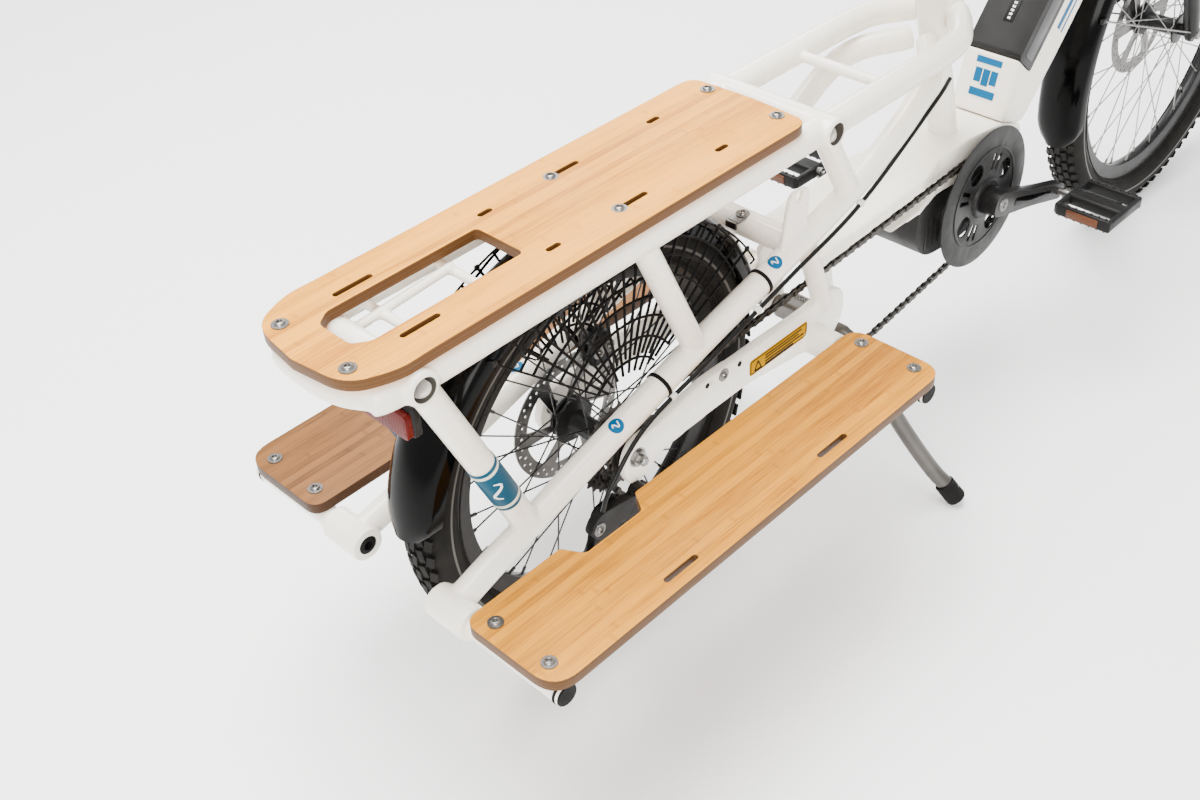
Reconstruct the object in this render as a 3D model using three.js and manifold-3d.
// Electric cargo bicycle with a long rear rack and two side boards, standing on its centre stand.
// Millimetres, +X forward, +Y left, +Z up. The origin is on the ground, below the middle of the object.

import * as THREE from 'three';
import { mergeVertices } from 'three/addons/utils/BufferGeometryUtils.js';
import Module from 'manifold-3d';

const wasm = await Module();
wasm.setup();

// ---------------------------------------------------------------- driving dimensions

const GAP = 0.3;                          // space kept between touching pieces
const ROUND = 8;                          // sides of a round tube

const FRONT_AXLE = [674, 0, 311];
const FRONT_RADIUS = 311;                 // 24 inch tyre
const FRONT_BEAD = 253;
const REAR_AXLE = [-642, 0, 300];
const REAR_RADIUS = 258;                  // 20 inch tyre, held off the ground by the stand
const REAR_BEAD = 203;
const TYRE_HALF = 28;

const CRANK_AXIS = [66, 0, 292];
const CRANK_LENGTH = 168;
const CRANK_DROP = THREE.MathUtils.degToRad(18);   // right arm below level, pointing forward
const RING_RADIUS = 72.9;                 // 36 teeth of 12.7 mm pitch
const COG_RADIUS = 36.6;                  // 18 teeth
const CHAIN_Y = -50;
const GUARD_RADIUS = 102;
const CHAIN_HALF = 3.2;
const PULLEY_UPPER = [-668, CHAIN_Y, 222];
const PULLEY_LOWER = [-690, CHAIN_Y, 150];
const PULLEY_RADIUS = 24.5;               // 12 teeth

const DECK_TOP = 598;
const DECK_THICK = 12;
const DECK_HALF = 83;
const DECK_REAR = -984;
const DECK_FRONT = -370;
const BOARD_TOP = 312;
const BOARD_THICK = 13;
const BOARD_REAR = -934;
const BOARD_FRONT = -314;
const BOARD_INNER = 118;
const BOARD_OUTER = 244;

const RAIL_R = 16;
const RAIL_Y = 70;
const SOCKET_R = 18;
const RAIL_Z = DECK_TOP - DECK_THICK - SOCKET_R - GAP;
const CROSS_REAR = -914;                  // lateral tubes of the deck and of the side boards
const CROSS_FRONT = -332;
const SOCKET_BORE = 13;
const LOWER_Z = 286;                      // lateral tubes that carry the side boards
const SUPPORT_R = 12.4;
const STAY_R = 15;

const SEAT_SLOPE = 0.308;                 // how far the seat tube leans back for each unit up
const SEAT_TUBE_R = 19;
const SEAT_TOP = 668;
const SEAT_FOOT = 372;
const POST_R = 15.5;
const SADDLE_Z = 930;

const HEAD_LOW = [490, 0, 676];
const HEAD_HIGH = [437, 0, 820];
const HEAD_R = 26;
const STEERER_R = 14;
const TUBE_ANGLE = THREE.MathUtils.degToRad(49);   // slope of the down tube
const TUBE_DEEP = 52;                     // down tube below the battery
const BOX_HALF = 41;                      // half width of the down tube and of the battery
const BATTERY_FOOT = [141, 0, 461];       // lower end of the battery's upper face
const BATTERY_HIGH = 46;
const BATTERY_LONG = 330;
const TOP_TUBE_A = [-14, 0, 571];
const TOP_TUBE_B = [448, 0, 776];
const TOP_TUBE_R = 19;
const ARM_INNER = 62;                     // chain stay plates, measured from the middle
const ARM_OUTER = 72;
const STAND_PIVOT = [-262, 0, 250];

const BAR_Z = 1050;
const BAR_HALF = 335;

// ---------------------------------------------------------------- materials

const paint = (color, roughness, metalness = 0) =>
  new THREE.MeshStandardMaterial({ color, roughness, metalness });

const MAT = {
  frame: paint(0xf2ede2, 0.3),
  bamboo: paint(0xd9a869, 0.5),
  black: paint(0x1b1b1c, 0.5),
  gloss: paint(0x0d0d0e, 0.2),
  tyre: paint(0x161616, 0.9),
  rim: paint(0x2a2a2b, 0.4, 0.5),
  steel: paint(0xb4b2ad, 0.35, 0.9),
  metal: paint(0x6d6c6a, 0.4, 0.8),
  lens: paint(0x8f1512, 0.2),
  battery: paint(0x3a3b3d, 0.5),
  rubber: paint(0x121212, 0.85),
  saddle: paint(0x1d1c1b, 0.7),
};

// ---------------------------------------------------------------- shape helpers

const deg = THREE.MathUtils.degToRad;
const vec = (p) => new THREE.Vector3(p[0], p[1], p[2]);
const plus = (a, b) => [a[0] + b[0], a[1] + b[1], a[2] + b[2]];
const seatX = (z) => CRANK_AXIS[0] - (z - CRANK_AXIS[2]) * SEAT_SLOPE;

// A closed solid made from a three.js geometry, turned right side out.
function solid(geometry) {
  const bare = geometry.index ? geometry.toNonIndexed() : geometry.clone();
  bare.deleteAttribute('normal');
  bare.deleteAttribute('uv');
  const welded = mergeVertices(bare, 1e-3);
  const build = (triVerts) => new wasm.Manifold(new wasm.Mesh({
    numProp: 3,
    vertProperties: new Float32Array(welded.attributes.position.array),
    triVerts,
  }));
  const tris = new Uint32Array(welded.index.array);
  const first = build(tris);
  if (first.volume() > 0) return first;
  for (let i = 0; i < tris.length; i += 3) {
    [tris[i], tris[i + 1]] = [tris[i + 1], tris[i]];
  }
  return build(tris);
}

const join = (parts) => parts.reduce((whole, part) => whole.add(part));
const cut = (body, tools) => tools.reduce((rest, tool) => rest.subtract(tool), body);

// A round rod from a to b.
function rod(a, b, radius, sides = ROUND, endRadius = radius) {
  const along = vec(b).sub(vec(a));
  const geometry = new THREE.CylinderGeometry(endRadius, radius, along.length(), sides);
  geometry.applyQuaternion(new THREE.Quaternion().setFromUnitVectors(
    new THREE.Vector3(0, 1, 0), along.clone().normalize()));
  geometry.translate(...vec(a).add(vec(b)).multiplyScalar(0.5).toArray());
  return solid(geometry);
}

// A round tube along a smooth curve through the points.
function bent(points, radius, steps = 12, sides = ROUND, tension = 0.5) {
  const section = new THREE.Shape();
  section.absarc(0, 0, radius, 0, 2 * Math.PI);
  const path = new THREE.CatmullRomCurve3(points.map(vec), false, 'catmullrom', tension);
  return solid(new THREE.ExtrudeGeometry(section, {
    steps, bevelEnabled: false, extrudePath: path, curveSegments: sides / 2 }));
}

// A ring or disc about the Y axis through centre. profile is a list of [radius, y].
function turned(profile, centre, segments = 32) {
  const geometry = new THREE.LatheGeometry(profile.map((p) => new THREE.Vector2(p[0], p[1])), segments);
  geometry.translate(...centre);
  return solid(geometry);
}

function box(low, high) {
  const size = high.map((h, i) => h - low[i]);
  const geometry = new THREE.BoxGeometry(...size);
  geometry.translate(...low.map((l, i) => l + size[i] / 2));
  return solid(geometry);
}

// An outline in the XZ plane, given thickness from yLow to yHigh.
function sidePlate(shape, yLow, yHigh, curveSegments = 6) {
  const geometry = new THREE.ExtrudeGeometry(shape, {
    depth: yHigh - yLow, bevelEnabled: false, curveSegments });
  geometry.rotateX(Math.PI / 2);
  geometry.translate(0, yHigh, 0);
  return solid(geometry);
}

// An outline in the XY plane, given thickness from zLow to zHigh.
function flatPlate(shape, zLow, zHigh, curveSegments = 5) {
  const geometry = new THREE.ExtrudeGeometry(shape, {
    depth: zHigh - zLow, bevelEnabled: false, curveSegments });
  geometry.translate(0, 0, zLow);
  return solid(geometry);
}

// A polygon whose corners are rounded. Each corner is [x, y, radius].
function roundedOutline(corners, Kind = THREE.Shape) {
  const outline = new Kind();
  const count = corners.length;
  corners.forEach((corner, i) => {
    const here = new THREE.Vector2(corner[0], corner[1]);
    const towards = (other) => {
      const edge = new THREE.Vector2(other[0], other[1]).sub(here);
      return edge.setLength(Math.min(corner[2], edge.length() * 0.45)).add(here);
    };
    const enter = towards(corners[(i + count - 1) % count]);
    const leave = towards(corners[(i + 1) % count]);
    if (i === 0) outline.moveTo(enter.x, enter.y);
    else outline.lineTo(enter.x, enter.y);
    if (corner[2] > 0) outline.quadraticCurveTo(here.x, here.y, leave.x, leave.y);
  });
  outline.closePath();
  return outline;
}

// A slot along X with round ends.
function slot(x0, x1, y, halfWidth) {
  return roundedOutline([
    [x0, y - halfWidth, halfWidth], [x1, y - halfWidth, halfWidth],
    [x1, y + halfWidth, halfWidth], [x0, y + halfWidth, halfWidth],
  ], THREE.Path);
}

// ---------------------------------------------------------------- the assembly

const bike = new THREE.Group();

function place(name, body, material) {
  const { vertProperties, triVerts } = body.getMesh();
  const geometry = new THREE.BufferGeometry();
  geometry.setAttribute('position', new THREE.BufferAttribute(new Float32Array(vertProperties), 3));
  geometry.setIndex(new THREE.BufferAttribute(new Uint32Array(triVerts), 1));
  const mesh = new THREE.Mesh(geometry, material);
  mesh.name = name;
  bike.add(mesh);
}

const side = { right: -1, left: 1 };

// ---------------------------------------------------------------- front frame

const steerAxis = vec(HEAD_HIGH).sub(vec(HEAD_LOW)).normalize();
const onSteer = (distance) => vec(HEAD_LOW).addScaledVector(steerAxis, distance).toArray();

const headSpace = rod(onSteer(-30), onSteer(190), HEAD_R + GAP, 16);
const headTube = rod(HEAD_LOW, HEAD_HIGH, HEAD_R, 16);
place('head_tube', cut(headTube, [rod(onSteer(-5), onSteer(160), STEERER_R + 3, 16)]), MAT.frame);

// The down tube is a wide box. Its upper face carries the battery.
const tubeDir = [Math.cos(TUBE_ANGLE), 0, Math.sin(TUBE_ANGLE)];
const tubeUp = [-Math.sin(TUBE_ANGLE), 0, Math.cos(TUBE_ANGLE)];

// A point given by its distances along the down tube and above its battery face.
const onTube = (along, above) => [
  BATTERY_FOOT[0] + tubeDir[0] * along + tubeUp[0] * above,
  BATTERY_FOOT[2] + tubeDir[2] * along + tubeUp[2] * above,
];

const tubeOutline = roundedOutline([
  [...onTube(0, 0), 4],
  [...onTube(0, -BATTERY_HIGH), 2],
  [...onTube(BATTERY_LONG + 20, -BATTERY_HIGH), 2],
  [...onTube(BATTERY_LONG + 34, -BATTERY_HIGH + 22), 8],
  [492, 770, 4],
  [512, 705, 4],
  [...onTube(250, -BATTERY_HIGH - TUBE_DEEP), 60],
  [...onTube(30, -BATTERY_HIGH - TUBE_DEEP), 40],
  [172, 356, 10],
  [118, 378, 6],
]);
const downTube = sidePlate(tubeOutline, -BOX_HALF, BOX_HALF, 4);

const batteryOutline = roundedOutline([
  [...onTube(GAP, 0), 6],
  [...onTube(BATTERY_LONG, 0), 14],
  [...onTube(BATTERY_LONG, -BATTERY_HIGH + GAP), 3],
  [...onTube(GAP, -BATTERY_HIGH + GAP), 3],
]);
place('battery', sidePlate(batteryOutline, -BOX_HALF, BOX_HALF, 4), MAT.battery);

const topSpace = rod(TOP_TUBE_A, TOP_TUBE_B, TOP_TUBE_R + GAP);
place('down_tube', cut(downTube, [headSpace, topSpace]), MAT.frame);

// ---------------------------------------------------------------- seat tube and rack loop

const seatPoint = (z) => [seatX(z), 0, z];
const seatSpace = rod(seatPoint(SEAT_FOOT - 60), seatPoint(SEAT_TOP + 60), SEAT_TUBE_R + GAP);

const hoopFront = seatX(RAIL_Z) + SEAT_TUBE_R + RAIL_R;
const loopHalf = (s) => [
  [-955, s * 62, RAIL_Z - 1],
  [-914, s * RAIL_Y, RAIL_Z],
  [-700, s * RAIL_Y, RAIL_Z],
  [-450, s * RAIL_Y, RAIL_Z],
  [-200, s * RAIL_Y, RAIL_Z],
  [-90, s * (RAIL_Y - 2), RAIL_Z],
  [-38, s * 52, RAIL_Z],
];
const loopPoints = [
  ...loopHalf(-1),
  [hoopFront, 0, RAIL_Z],
  ...loopHalf(1).reverse(),
];
const rackLoop = bent(loopPoints, RAIL_R, 40);
const rearBow = bent([
  [-952, -62, RAIL_Z - 1], [-966, -38, RAIL_Z - 3], [-970, 0, RAIL_Z - 4],
  [-966, 38, RAIL_Z - 3], [-952, 62, RAIL_Z - 1]], RAIL_R - 1, 8);

const rodFrame = join([
  rod([-914, -28, RAIL_Z], [-778, -28, RAIL_Z + 9], 5, 8),
  rod([-914, 28, RAIL_Z], [-778, 28, RAIL_Z + 9], 5, 8),
  rod([-866, -70, RAIL_Z], [-866, 70, RAIL_Z], 5, 8),
  rod([-780, -70, RAIL_Z + 4], [-780, 70, RAIL_Z + 4], 5, 8),
]);
const rackSocket = (x) => rod([x, -90, RAIL_Z], [x, 90, RAIL_Z], SOCKET_R);
const socketBores = (x) => [-1, 1].map((s) =>
  rod([x, s * 30, RAIL_Z], [x, s * 100, RAIL_Z], SOCKET_BORE));
const rackBody = join([
  rackLoop, rearBow, rodFrame, rackSocket(CROSS_REAR), rackSocket(CROSS_FRONT),
  rod([-205, -RAIL_Y, RAIL_Z], [-205, RAIL_Y, RAIL_Z], 7, 8),
]);
place('rack_frame', cut(rackBody, [
  ...socketBores(CROSS_REAR), ...socketBores(CROSS_FRONT), seatSpace, topSpace,
]), MAT.frame);

const postSpace = rod(seatPoint(430), seatPoint(SEAT_TOP + 10), POST_R + GAP);
const seatTube = rod(seatPoint(SEAT_FOOT), seatPoint(SEAT_TOP), SEAT_TUBE_R);
place('seat_tube', cut(seatTube, [postSpace]), MAT.frame);

const topTube = rod(TOP_TUBE_A, TOP_TUBE_B, TOP_TUBE_R);
place('top_tube', cut(topTube, [seatSpace, headSpace]), MAT.frame);

// ---------------------------------------------------------------- yoke behind the motor

const yokeOutline = roundedOutline([
  [118, 377, 4], [172, 355, 8], [176, 334, 14], [120, 322, 20], [20, 330, 30],
  [-120, 340, 30], [-262, 348, 10], [-300, 356, 14], [-302, 378, 10], [-120, 384, 60], [20, 392, 40],
]);
const yokeBody = sidePlate(yokeOutline, -56, 56, 4);
const chainTop = (x) => 292 + RING_RADIUS + (66 - x) * (COG_RADIUS + 8 - RING_RADIUS) / 708;
const chainChannel = (() => {
  const outline = new THREE.Shape();
  outline.moveTo(180, chainTop(180) - 16);
  outline.lineTo(180, chainTop(180) + 14);
  outline.lineTo(-320, chainTop(-320) + 11);
  outline.lineTo(-320, chainTop(-320) - 11);
  outline.closePath();
  return outline;
})();
const yokeFlank = (s) => {
  const outline = new THREE.Shape();
  outline.moveTo(200, s * 70);
  outline.lineTo(-90, s * 70);
  outline.lineTo(-90, s * 56);
  outline.lineTo(-30, s * 41);
  outline.lineTo(200, s * 41);
  outline.closePath();
  return flatPlate(outline, 250, 450);
};
const TYRE_SPACE = turned([[0, -40], [286, -40], [286, 40], [0, 40]], REAR_AXLE, 48);

// The main stay on each side rises from the lower rear corner to the seat tube.
const stayLine = (s) => [
  [-917, s * 77, LOWER_Z], [-799, s * 73, 319], [-540, s * 70, 392], [-265, s * 68, 463],
  [-120, s * 62, 530], [-50, s * 22, 545],
];
const staySolid = (s) => bent(stayLine(s), STAY_R, 13);
const staySpace = (s) => bent(stayLine(s), STAY_R + GAP, 13);

const yoke = cut(yokeBody, [
  sidePlate(chainChannel, -58, -42),
  yokeFlank(-1), yokeFlank(1), TYRE_SPACE, seatSpace, downTube,
  rod([CRANK_AXIS[0], -80, CRANK_AXIS[2]], [CRANK_AXIS[0], 80, CRANK_AXIS[2]], 48, 16),
]);

// ---------------------------------------------------------------- chain stays

const stayArm = (s) => {
  const outline = roundedOutline([
    [-664, 290, 14], [-654, 266, 8], [-630, 264, 8], [-606, 282, 10], [-540, 286, 20],
    [-455, 288, 20], [-330, 270, 10], [-292, 262, 18], [-268, 296, 20], [-274, 330, 12],
    [-300, 338, 8], [-350, 334, 10], [-469, 336, 20], [-530, 338, 20], [-612, 324, 10],
    [-650, 322, 16],
  ]);
  return s < 0 ? sidePlate(outline, -ARM_OUTER, -ARM_INNER, 4) : sidePlate(outline, ARM_INNER, ARM_OUTER, 4);
};
const limb = (s) => cut(join([
  stayArm(s),
  rod([-306, s * 66, 318], [-352, s * 70, 436], 12),
  rod([-288, s * 46, 306], [-288, s * 66, 306], 20),
  rod([CROSS_FRONT, s * 52, LOWER_Z], [CROSS_FRONT, s * 110, LOWER_Z], 19),
]), [
  staySpace(s),
  rod([CROSS_FRONT, s * 70, LOWER_Z], [CROSS_FRONT, s * 120, LOWER_Z], SUPPORT_R + GAP),
  rod([REAR_AXLE[0], s * 40, REAR_AXLE[2]], [REAR_AXLE[0], s * 80, REAR_AXLE[2]], 7.5, 10),
]);
const limbs = { right: limb(-1), left: limb(1) };
for (const [name, body] of Object.entries(limbs)) place(`chainstay_${name}`, body, MAT.frame);

// The stand's pivot lugs hang below the rear end of the yoke.
const standLug = roundedOutline([
  [-300, 352, 4], [-262, 352, 4], [-244, 250, 14], [-262, 232, 12], [-282, 240, 12],
]);
const standLugs = cut(join([sidePlate(standLug, -45, -37, 3), sidePlate(standLug, 37, 45, 3)]), [
  rod(plus(STAND_PIVOT, [0, -60, 0]), plus(STAND_PIVOT, [0, 60, 0]), 12.5, 24),
]);
place('yoke', cut(join([yoke, standLugs]), [limbs.right, limbs.left]), MAT.frame);

// ---------------------------------------------------------------- main stays with their struts

const loopSpace = bent(loopPoints, RAIL_R + GAP, 40);
const earOutline = roundedOutline([
  [-400, 420, 4], [-352, 440, 4], [-352, 470, 10], [-352, 488, 4], [-350, 506, 14], [-384, 512, 18], [-392, 478, 14],
]);
const earHole = rod([-369, -90, 500], [-369, 90, 500], 7, 8);
for (const [name, s] of Object.entries(side)) {
  const socket = rod([-916, s * 56, LOWER_Z], [-916, s * 110, LOWER_Z], 19);
  const ear = s < 0 ? sidePlate(earOutline, -72, -66, 3) : sidePlate(earOutline, 66, 72, 3);
  const struts = [
    rod([-908, s * 70, RAIL_Z - 6], [-806, s * 73, 322], 15),
    rod([-620, s * 70, RAIL_Z - 4], [-544, s * 70, 394], 14),
    rod([-330, s * 70, RAIL_Z - 4], [-272, s * 68, 462], 14),
  ];
  const body = cut(join([staySolid(s), socket, ear, ...struts]), [
    loopSpace, rod([CROSS_REAR, s * 40, RAIL_Z], [CROSS_REAR, s * 100, RAIL_Z], SOCKET_R + GAP),
    rod([CROSS_FRONT, s * 40, RAIL_Z], [CROSS_FRONT, s * 100, RAIL_Z], SOCKET_R + GAP),
    rod([-916, s * 50, LOWER_Z], [-916, s * 66, LOWER_Z], 11),
    rod([-916, s * 70, LOWER_Z], [-916, s * 120, LOWER_Z], SUPPORT_R + GAP),
    seatSpace, earHole,
  ]);
  place(`stay_${name}`, body, MAT.frame);
}

const bridge = cut(rod([-374, -66, 440], [-374, 66, 440], 16), [staySpace(-1), staySpace(1), limbs.right, limbs.left]);
place('fender_bridge', bridge, MAT.frame);

// ---------------------------------------------------------------- boards and their tubes

const deckOutline = roundedOutline([
  [DECK_REAR, 0, 0], [-976, -64, 22], [-932, -DECK_HALF - 1, 26], [-900, -DECK_HALF, 8],
  [DECK_FRONT - 5, -DECK_HALF, 20], [DECK_FRONT - 2, -50, 4], [DECK_FRONT, 0, 4], [DECK_FRONT - 2, 50, 4],
  [DECK_FRONT - 5, DECK_HALF, 20], [-900, DECK_HALF, 8], [-932, DECK_HALF + 1, 26], [-976, 64, 22],
]);
deckOutline.holes.push(roundedOutline([
  [-937, -22, 4], [-921, -33, 4], [-741, -33, 5], [-741, 33, 5], [-921, 33, 4], [-937, 22, 4],
], THREE.Path));
for (const s of [-1, 1]) {
  for (const [x0, x1] of [[-902, -857], [-725.5, -707.5], [-629, -588], [-483.5, -465.5]]) {
    deckOutline.holes.push(slot(x0, x1, s * 48, 3.2));
  }
}
place('deck_board', flatPlate(deckOutline, DECK_TOP - DECK_THICK, DECK_TOP, 2), MAT.bamboo);

for (const [name, s] of Object.entries(side)) {
  const corners = [
    [BOARD_REAR, BOARD_INNER, 16], [-804, BOARD_INNER, 2], [-791, 142, 4], [-709, 142, 4], [-694, BOARD_INNER, 2],
    [BOARD_FRONT, BOARD_INNER, 22], [BOARD_FRONT, BOARD_OUTER, 26], [BOARD_REAR, BOARD_OUTER, 30],
  ].map(([x, y, r]) => [x, s * y, r]);
  const outline = roundedOutline(corners);
  for (const [x0, x1] of [[-768, -720], [-525, -476]]) outline.holes.push(slot(x0, x1, s * 227, 3.5));
  place(`side_board_${name}`, flatPlate(outline, BOARD_TOP - BOARD_THICK, BOARD_TOP, 2), MAT.bamboo);
  for (const [end, x] of Object.entries({ rear: CROSS_REAR - 2, front: CROSS_FRONT })) {
    place(`board_tube_${end}_${name}`,
      rod([x, s * 71, LOWER_Z], [x, s * 240, LOWER_Z], SUPPORT_R), MAT.frame);
  }
}

// ---------------------------------------------------------------- motor, crank, chain

const motorOutline = roundedOutline([
  [-66, 276, 16], [-40, 238, 26], [60, 226, 40], [140, 250, 26], [150, 300, 20], [128, 318, 12], [20, 326, 20], [-60, 326, 14],
]);
const crankSpace = rod([66, -90, 292], [66, 90, 292], 15, 12);
place('motor', cut(sidePlate(motorOutline, -38, 38, 3), [crankSpace, join([yoke, standLugs])]), MAT.black);

const armEnd = (s, y) => [
  CRANK_AXIS[0] - s * CRANK_LENGTH * Math.cos(CRANK_DROP),
  s * y,
  CRANK_AXIS[2] + s * CRANK_LENGTH * Math.sin(CRANK_DROP),
];
const crankArm = (s) => join([
  rod([66, s * 62, 292], [66, s * 82, 292], 19, 12),
  rod([66, s * 72, 292], armEnd(s, 88), 12, 8, 9),
  rod(armEnd(s, 80), armEnd(s, 96), 13, 12),
]);
place('crank', cut(join([
  rod([66, -80, 292], [66, 80, 292], 12), crankArm(-1), crankArm(1),
]), [rod(armEnd(-1, 75), armEnd(-1, 100), 5.6, 8), rod(armEnd(1, 75), armEnd(1, 100), 5.6, 8)]), MAT.black);

const ringCentre = (y) => [CRANK_AXIS[0], y, CRANK_AXIS[2]];
place('chain_ring', turned(
  [[12.4, -2], [RING_RADIUS - 6.4, -2], [RING_RADIUS - 6.4, 2], [12.4, 2], [12.4, -2]], ringCentre(CHAIN_Y), 28), MAT.black);
const guardDisc = turned(
  [[12.4, -1.5], [GUARD_RADIUS, -1.5], [GUARD_RADIUS, 1.5], [12.4, 1.5], [12.4, -1.5]], ringCentre(CHAIN_Y - 7), 32);
const guardHole = (angle, radius, distance) => {
  const x = CRANK_AXIS[0] + distance * Math.cos(angle);
  const z = CRANK_AXIS[2] + distance * Math.sin(angle);
  return rod([x, -64, z], [x, -50, z], radius, 10);
};
const guardAngles = [-150, -60, 30, 120].map(deg);
place('chain_guard', cut(guardDisc, guardAngles.map((a) => guardHole(a, 14, 52))), MAT.black);

// The chain's outline runs round the ring, the cog and the lower pulley, and behind the upper one.
function chainLoop(offset) {
  const ring = new THREE.Vector2(CRANK_AXIS[0], CRANK_AXIS[2]);
  const cog = new THREE.Vector2(REAR_AXLE[0], REAR_AXLE[2]);
  const upper = new THREE.Vector2(PULLEY_UPPER[0], PULLEY_UPPER[2]);
  const lower = new THREE.Vector2(PULLEY_LOWER[0], PULLEY_LOWER[2]);
  const wheels = [
    { at: ring, r: RING_RADIUS, turn: 1 },
    { at: cog, r: COG_RADIUS, turn: 1 },
    { at: upper, r: PULLEY_RADIUS, turn: -1 },
    { at: lower, r: PULLEY_RADIUS, turn: 1 },
  ];
  const points = [];
  wheels.forEach((wheel, i) => {
    const before = wheels[(i + wheels.length - 1) % wheels.length];
    const after = wheels[(i + 1) % wheels.length];
    const start = tangent(before, wheel).leave;
    const end = tangent(wheel, after).depart;
    let sweep = end - start;
    while (wheel.turn > 0 && sweep < 0) sweep += 2 * Math.PI;
    while (wheel.turn < 0 && sweep > 0) sweep -= 2 * Math.PI;
    const steps = Math.max(2, Math.ceil(Math.abs(sweep) / 0.5));
    for (let k = 0; k <= steps; k += 1) {
      const angle = start + sweep * k / steps;
      const r = wheel.r + wheel.turn * offset;
      points.push(new THREE.Vector2(wheel.at.x + r * Math.cos(angle), wheel.at.y + r * Math.sin(angle)));
    }
  });
  return points;
}

// Angles at which a straight run leaves wheel a and meets wheel b, going anticlockwise over the top.
function tangent(a, b) {
  const delta = b.at.clone().sub(a.at);
  const base = Math.atan2(delta.y, delta.x);
  const lean = Math.asin((b.turn * b.r - a.turn * a.r) / delta.length());
  const normal = base - Math.PI / 2 - lean;
  return {
    depart: a.turn > 0 ? normal : normal + Math.PI,
    leave: b.turn > 0 ? normal : normal + Math.PI,
  };
}

const chainShape = new THREE.Shape(chainLoop(3.4));
chainShape.holes.push(new THREE.Path(chainLoop(-3.4)));
place('chain', sidePlate(chainShape, CHAIN_Y - CHAIN_HALF, CHAIN_Y + CHAIN_HALF), MAT.metal);

for (const [name, at] of Object.entries({ guide_pulley: PULLEY_UPPER, tension_pulley: PULLEY_LOWER })) {
  place(name, turned([[0, -2.2], [PULLEY_RADIUS - 4.4, -2.2], [PULLEY_RADIUS - 4.4, 2.2], [0, 2.2]], at, 16), MAT.black);
}
const cageOutline = roundedOutline([
  [-652, 238, 10], [-690, 236, 12], [-708, 142, 14], [-682, 130, 14], [-660, 190, 10],
]);
const cagePlate = sidePlate(cageOutline, CHAIN_Y - 6.5, CHAIN_Y - 4, 3);
const derailleurBody = sidePlate(roundedOutline([
  [-632, 262, 8], [-664, 258, 12], [-716, 270, 14], [-730, 244, 12], [-700, 226, 12], [-640, 236, 12],
]), -84, -68.5, 3);
place('derailleur', join([
  cagePlate,
  rod([PULLEY_UPPER[0], CHAIN_Y - 8.6, PULLEY_UPPER[2]], [PULLEY_UPPER[0], -72, PULLEY_UPPER[2] + 14], 9, 8),
  derailleurBody,
]), MAT.black);

// ---------------------------------------------------------------- wheels

const tyreProfile = (radius, bead) => {
  const high = radius - bead;
  return [
    [bead + 2, -12], [bead + high * 0.55, -TYRE_HALF], [bead + high * 0.83, -22],
    [radius, -8], [radius, 8], [bead + high * 0.83, 22], [bead + high * 0.55, TYRE_HALF],
    [bead + 2, 12], [bead + 2, -12],
  ];
};

function wheel(name, axle, radius, bead, hubHalf, flangeY) {
  place(`${name}_tyre`, turned(tyreProfile(radius, bead), axle, 24), MAT.tyre);
  const rim = turned([
    [bead - 19, -7], [bead + 1.6, -12.5], [bead + 1.6, 12.5], [bead - 19, 7], [bead - 19, -7]], axle, 24);
  const hub = turned([
    [0, -hubHalf], [9, -hubHalf], [9, -flangeY - 2], [24, -flangeY - 2], [24, -flangeY + 2], [13, -flangeY + 8],
    [13, flangeY - 8], [24, flangeY - 2], [24, flangeY + 2], [9, flangeY + 2], [9, hubHalf], [0, hubHalf],
  ], axle, 12);
  const spokes = [];
  const SPOKES = 8;
  for (let i = 0; i < SPOKES; i += 1) {
    const angle = 2 * Math.PI * (i + 0.5) / SPOKES;
    const way = [Math.cos(angle), 0, Math.sin(angle)];
    const at = (r, y) => plus(axle, [way[0] * r, y, way[2] * r]);
    const flange = (i % 2 ? 1 : -1) * flangeY;
    spokes.push(rod(at(18, flange), at(bead - 12, 0), 1.6, 4));
  }
  place(`${name}_rim`, join([rim, hub, ...spokes]), MAT.rim);
}
wheel('front_wheel', FRONT_AXLE, FRONT_RADIUS, FRONT_BEAD, 43, 28);
wheel('rear_wheel', REAR_AXLE, REAR_RADIUS, REAR_BEAD, 61.5, 26);

const rotor = (axle, y, radius) => turned(
  [[9.4, -0.9], [radius, -0.9], [radius, 0.9], [9.4, 0.9], [9.4, -0.9]], plus(axle, [0, y, 0]), 20);
place('front_rotor', rotor(FRONT_AXLE, 36, 90), MAT.steel);
place('rear_rotor', rotor(REAR_AXLE, 38, 80), MAT.steel);

place('cassette', turned([
  [9.4, 10], [58, 10], [58, 5], [COG_RADIUS + 8, 5], [COG_RADIUS + 8, 4.2], [COG_RADIUS - 5, 4.2], [COG_RADIUS - 5, -3],
  [26, -3], [26, -9], [9.4, -9], [9.4, 10]], [REAR_AXLE[0], CHAIN_Y, REAR_AXLE[2]], 20), MAT.metal);

// ---------------------------------------------------------------- pedals

for (const [name, s] of Object.entries(side)) {
  const end = armEnd(s, 0);
  const at = (dx, y, dz) => [end[0] + dx, s * y, end[2] + dz];
  const cage = [
    rod(at(0, 76, 0), at(0, 192, 0), 5, 8),
    rod(at(0, 104, 0), at(0, 190, 0), 9, 8),
  ];
  for (const dx of [-42, 42]) cage.push(rod(at(dx, 110, 0), at(dx, 190, 0), 8, 6));
  for (const y of [112, 188]) cage.push(rod(at(-42, y, 0), at(42, y, 0), 7, 6));
  place(`pedal_${name}`, join(cage), MAT.black);
}

// ---------------------------------------------------------------- centre stand

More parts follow.
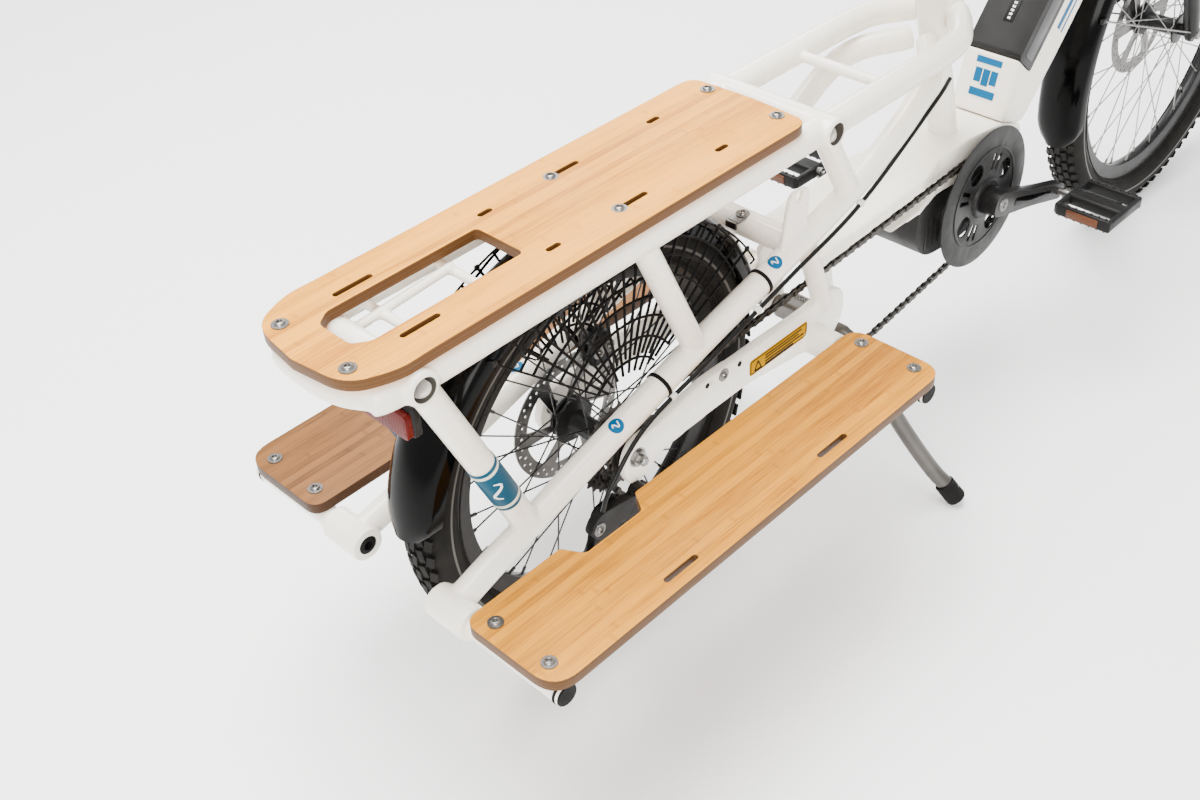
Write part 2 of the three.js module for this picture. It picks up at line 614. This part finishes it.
const legLine = (s) => [
  [-262, s * 56, 250], [-262, s * 80, 246], [-252, s * 108, 205], [-232, s * 142, 130],
  [-206, s * 184, 54], [-188, s * 216, 11],
];
const footEnd = (s) => rod([-196, s * 202, 29], [-188, s * 218, 8], 13.5, 12);
const stand = join([
  rod([-262, -70, 250], [-262, 70, 250], 12, 24), bent(legLine(-1), 11, 9), bent(legLine(1), 11, 9),
  footEnd(-1), footEnd(1),
]);
place('center_stand', cut(stand, [box([-300, -300, -30], [-100, 300, 0])]), MAT.steel);

// ---------------------------------------------------------------- fenders, light, skirts

function fender(axle, radius, half, from, to, steps) {
  const outline = new THREE.Shape();
  outline.absarc(0, 0, radius + 14, from, to, false);
  outline.absarc(0, 0, radius + 10, to, from, true);
  const crown = new THREE.ExtrudeGeometry(outline, { depth: 2 * half, bevelEnabled: false, curveSegments: steps });
  crown.translate(axle[0], axle[2], 0);
  crown.rotateX(Math.PI / 2);
  crown.translate(0, half, 0);
  const skirt = (s) => {
    const flank = new THREE.Shape();
    flank.absarc(0, 0, radius + 13, from, to, false);
    flank.absarc(0, 0, radius - 8, to, from, true);
    const shape = new THREE.ExtrudeGeometry(flank, { depth: 3, bevelEnabled: false, curveSegments: steps });
    shape.translate(axle[0], axle[2], 0);
    shape.rotateX(Math.PI / 2);
    shape.translate(0, s > 0 ? half : -half + 3, 0);
    return solid(shape);
  };
  return join([solid(crown), skirt(1), skirt(-1)]);
}
place('rear_fender', fender(REAR_AXLE, REAR_RADIUS, 37, deg(12), deg(176), 9), MAT.gloss);

place('rear_light', join([
  box([-914, -52, 484], [-896, 52, 520]), box([-910, -14, 514], [-902, 14, RAIL_Z - SOCKET_R + 6]),
]).subtract(rod([CROSS_REAR, -60, RAIL_Z], [CROSS_REAR, 60, RAIL_Z], SOCKET_R + GAP)), MAT.lens);

for (const [name, s] of Object.entries(side)) {
  const outline = new THREE.Shape();
  outline.moveTo(-655, 377);
  outline.lineTo(-426, 438);
  outline.absarc(REAR_AXLE[0], REAR_AXLE[2], 262, deg(32), deg(128), false);
  outline.closePath();
  const yLow = s < 0 ? -47 : 44.5;
  place(`skirt_guard_${name}`, sidePlate(outline, yLow, yLow + 2.5, 8), MAT.black);
}

// ---------------------------------------------------------------- fork, bars and steering parts

const crown = onSteer(-16);
const forkLeg = (s) => bent([
  [crown[0] + 2, s * 30, crown[2] - 4], [crown[0] + 26, s * 52, crown[2] - 60],
  [630, s * 52, 400], [FRONT_AXLE[0] - 2, s * 50, FRONT_AXLE[2]]], 12.5, 9);
const fork = cut(join([
  rod([crown[0] + 3, -44, crown[2] - 6], [crown[0] + 3, 44, crown[2] - 6], 14),
  rod(onSteer(-24), onSteer(176), STEERER_R),
  rod(onSteer(-14), onSteer(-3), 24, 16),
  forkLeg(-1), forkLeg(1),
  rod([674, -56, 311], [674, -44, 311], 15, 12), rod([674, 44, 311], [674, 56, 311], 15, 12),
]), [rod([674, -60, 311], [674, 60, 311], 9.4, 12)]);
place('fork', fork, MAT.frame);

const BAR_CENTRE = [432, 0, BAR_Z];
const stemBody = cut(join([
  rod(onSteer(155), onSteer(290), 19, 12), rod(onSteer(276), BAR_CENTRE, 16, 10),
  rod([432, -26, BAR_Z], [432, 26, BAR_Z], 24, 12),
]), [
  rod(onSteer(140), onSteer(176.3), STEERER_R + GAP), rod([432, -40, BAR_Z], [432, 40, BAR_Z], 16 + GAP, 12),
]);
place('stem', stemBody, MAT.black);
const barLine = [
  [352, -BAR_HALF, BAR_Z + 22], [384, -240, BAR_Z + 24], [418, -120, BAR_Z + 14], [432, -30, BAR_Z],
  [432, 30, BAR_Z], [418, 120, BAR_Z + 14], [384, 240, BAR_Z + 24], [352, BAR_HALF, BAR_Z + 22],
];
place('handlebar', bent(barLine, 11, 16), MAT.black);

for (const [name, s] of Object.entries(side)) {
  const gripLine = [[350, s * (BAR_HALF + 3), BAR_Z + 22], [366, s * 290, BAR_Z + 24], [388, s * 226, BAR_Z + 24]];
  const inner = bent(barLine, 11 + GAP, 16);
  place(`grip_${name}`, bent(gripLine, 16, 6).subtract(inner), MAT.rubber);
  const perch = [402, s * 186, BAR_Z + 21];
  place(`lever_mount_${name}`, cut(join([
    rod(plus(perch, [-4, s * 12, 0]), plus(perch, [6, -s * 12, 0]), 17, 12),
    rod(plus(perch, [14, 0, -4]), plus(perch, [34, s * 6, -8]), 9, 8),
  ]), [inner]), MAT.black);
  const lever = bent([
    plus(perch, [46, s * 8, -10]), plus(perch, [44, s * 46, -14]), plus(perch, [20, s * 106, -14]),
    plus(perch, [2, s * 140, -12])], 5, 8, 8);
  place(`brake_lever_${name}`, lever, MAT.black);
}
place('display', cut(join([
  box([410, -40, BAR_Z + 26], [450, 40, BAR_Z + 38]), box([420, -8, BAR_Z + 4], [440, 8, BAR_Z + 30]),
]), [rod([432, -40, BAR_Z], [432, 40, BAR_Z], 24 + GAP, 12)]), MAT.black);

place('headlight', join([
  rod([crown[0] + 40, 0, crown[2] + 24], [crown[0] + 84, 0, crown[2] + 20], 24, 12),
  rod([crown[0] + 17.6, 0, crown[2] - 2], [crown[0] + 56, 0, crown[2] + 14], 5, 8),
]), MAT.black);
place('front_fender', fender(FRONT_AXLE, FRONT_RADIUS, 37, deg(38), deg(196), 9)
  .subtract(rod([crown[0] + 3, -60, crown[2] - 6], [crown[0] + 3, 60, crown[2] - 6], 14 + GAP))
  .subtract(rod(onSteer(-40), onSteer(10), 24 + GAP)), MAT.gloss);

// A brake caliper: two halves astride the rotor, joined beyond its rim.
function caliper(x, rotorY, z, reachY) {
  return join([
    box([x, rotorY - 14, z], [x + 32, rotorY - 1.6, z + 34]),
    box([x, rotorY + 1.6, z], [x + 32, rotorY + 12, z + 34]),
    box([x, rotorY - 14, z + 28], [x + 32, rotorY + 12, z + 38]),
    box([x + 6, rotorY + 6, z - 12], [x + 26, reachY, z + 8]),
  ]);
}
place('front_caliper', caliper(576, 36, 374, 50), MAT.black);
place('rear_caliper', caliper(-606, 38, 350, 61.5), MAT.black);

// ---------------------------------------------------------------- seat

place('seat_clamp', cut(rod(seatPoint(SEAT_TOP - 14), seatPoint(SEAT_TOP + 4), SEAT_TUBE_R + 6, 16), [
  rod(seatPoint(SEAT_TOP - 30), seatPoint(SEAT_TOP + 20), SEAT_TUBE_R + GAP)]), MAT.black);
const leverPivot = [seatX(SEAT_TOP) - SEAT_TUBE_R - 17, 0, SEAT_TOP - 5];
place('seat_lever', bent([
  plus(leverPivot, [0, -2, 0]), plus(leverPivot, [0, 20, 2]), plus(leverPivot, [14, 40, 2])], 4.5, 6, 8), MAT.steel);
place('seatpost', rod(seatPoint(470), seatPoint(SADDLE_Z - 50), POST_R), MAT.black);
const saddleOutline = roundedOutline([
  [seatX(SADDLE_Z) + 145, 0, 10], [seatX(SADDLE_Z) + 120, -22, 14], [seatX(SADDLE_Z) - 10, -48, 40],
  [seatX(SADDLE_Z) - 90, -86, 30], [seatX(SADDLE_Z) - 128, -50, 26], [seatX(SADDLE_Z) - 122, 0, 10],
  [seatX(SADDLE_Z) - 128, 50, 26], [seatX(SADDLE_Z) - 90, 86, 30], [seatX(SADDLE_Z) - 10, 48, 40],
  [seatX(SADDLE_Z) + 120, 22, 14]]);
place('saddle', flatPlate(saddleOutline, SADDLE_Z - 43, SADDLE_Z + 14, 4), MAT.saddle);

// ---------------------------------------------------------------- lines clipped along the frame

const cableLine = [
  [-72, -66, 525], [-118, -76, 514], [-268, -84, 449], [-402, -85, 414], [-542, -86, 378], [-642, -86, 350],
  [-698, -87, 304], [-712, -86, 277],
];
place('gear_cable', bent(cableLine, 2.6, 26, 8), MAT.rubber);

export default bike;
